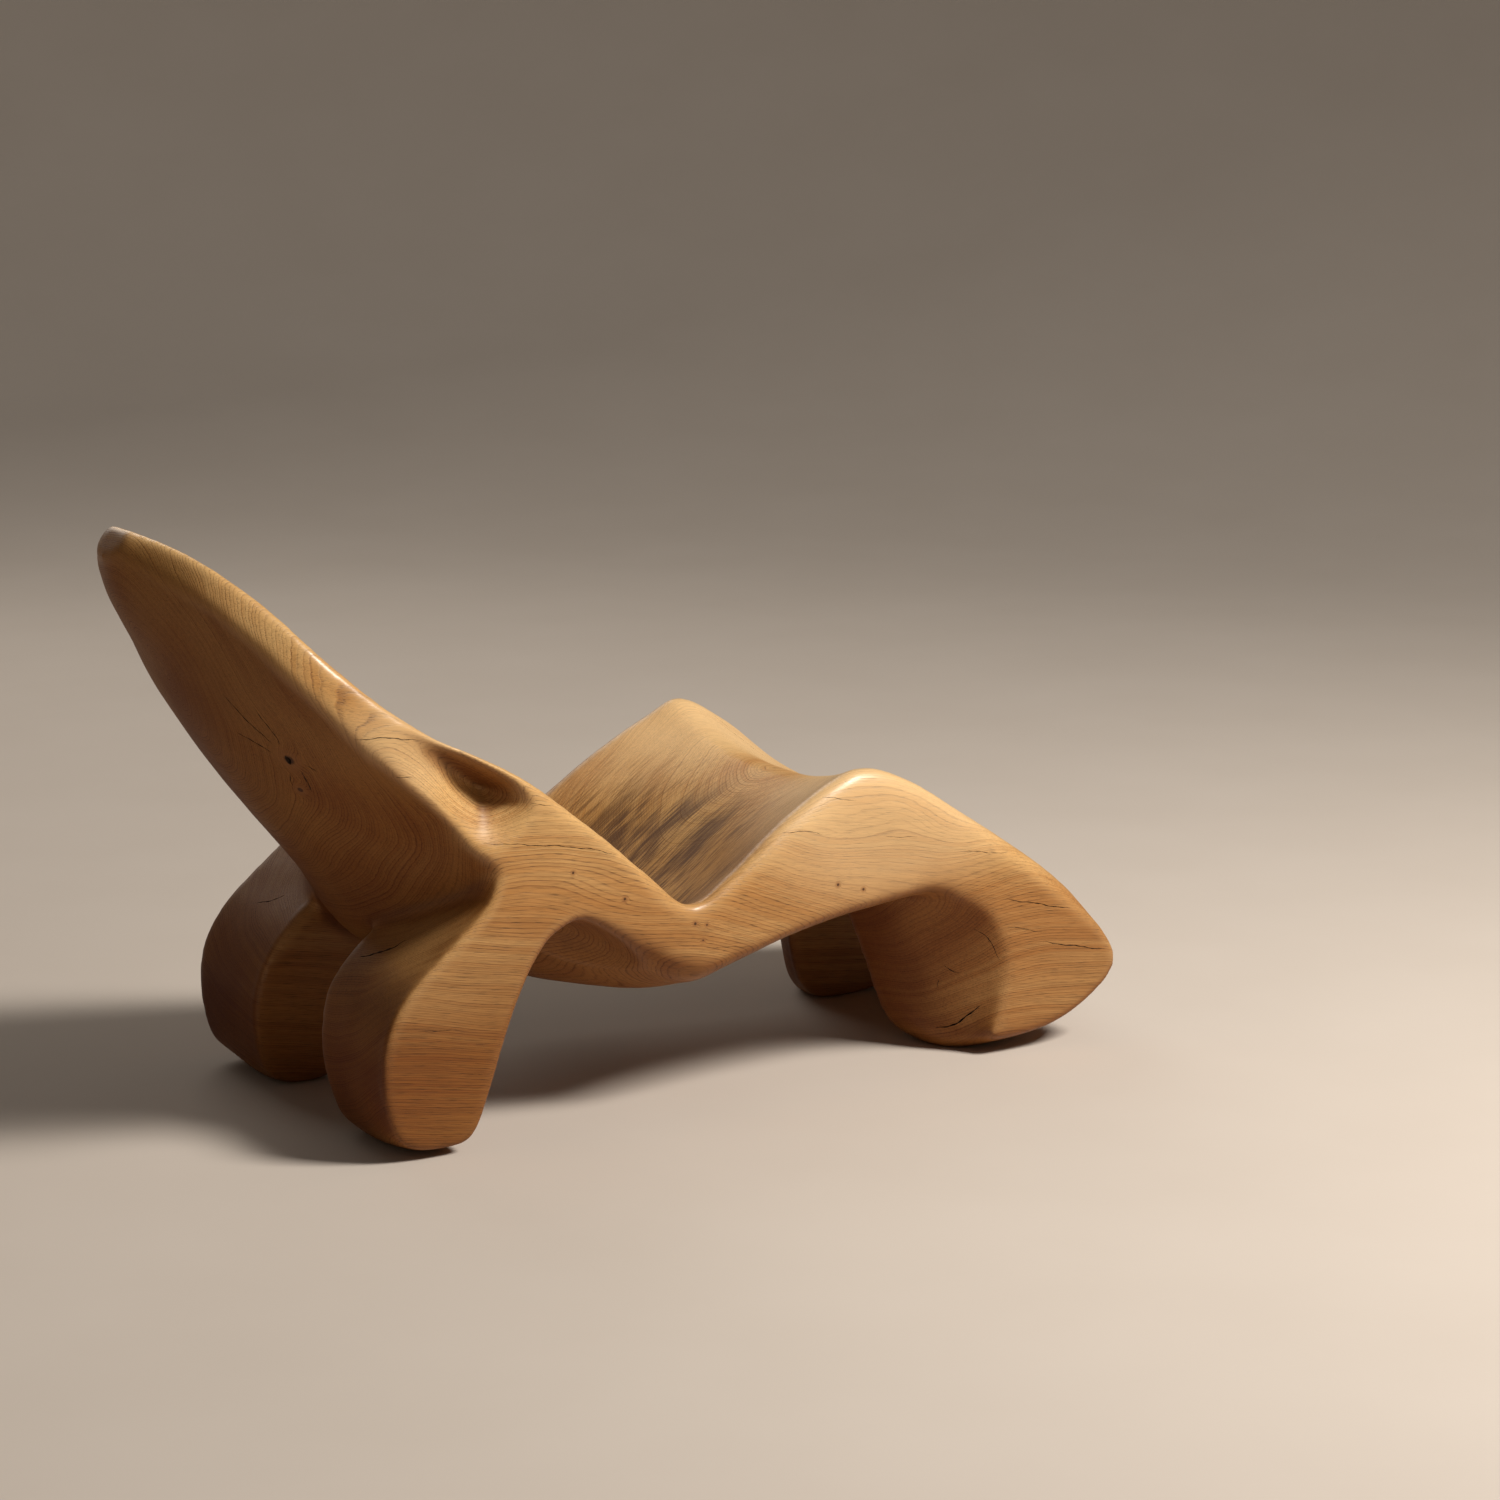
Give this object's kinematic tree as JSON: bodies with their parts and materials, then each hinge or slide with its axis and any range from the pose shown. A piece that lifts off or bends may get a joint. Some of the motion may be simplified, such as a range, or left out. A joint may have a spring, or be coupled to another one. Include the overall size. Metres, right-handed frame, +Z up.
{
  "type": "chaise longue",
  "caption": "Low sculptural chaise longue in solid waxed oak: a reclined leaf-shaped back flows into a hollowed seat, a raised knee rest and stout splayed legs.",
  "frame": {"origin": "on the floor, under the middle of the overall length and width", "axes": "+X along the length from the head to the foot end, +Y to the sitter's left, +Z up"},
  "size_m": [1.3888, 0.5701, 0.7953],
  "materials": {
    "carved_oak": "solid oak, hand rounded and waxed to a satin sheen, with open drying checks",
    "tenon_oak": "plain planed oak, unfinished inside the joints"
  },
  "bodies": {
    "root": {"backrest": "carved_oak", "seat": "carved_oak", "knee_rest": "carved_oak", "rear_leg_left": "carved_oak", "rear_leg_right": "carved_oak", "front_leg_left": "carved_oak", "front_leg_right": "carved_oak", "back_tenon_left": "tenon_oak", "back_tenon_right": "tenon_oak", "knee_tenon_left": "tenon_oak", "knee_tenon_right": "tenon_oak", "rear_leg_tenon_left_inner": "tenon_oak", "rear_leg_tenon_left_outer": "tenon_oak", "rear_leg_tenon_right_inner": "tenon_oak", "rear_leg_tenon_right_outer": "tenon_oak", "front_leg_tenon_left_inner": "tenon_oak", "front_leg_tenon_left_outer": "tenon_oak", "front_leg_tenon_right_inner": "tenon_oak", "front_leg_tenon_right_outer": "tenon_oak"}
  },
  "joints": []
}
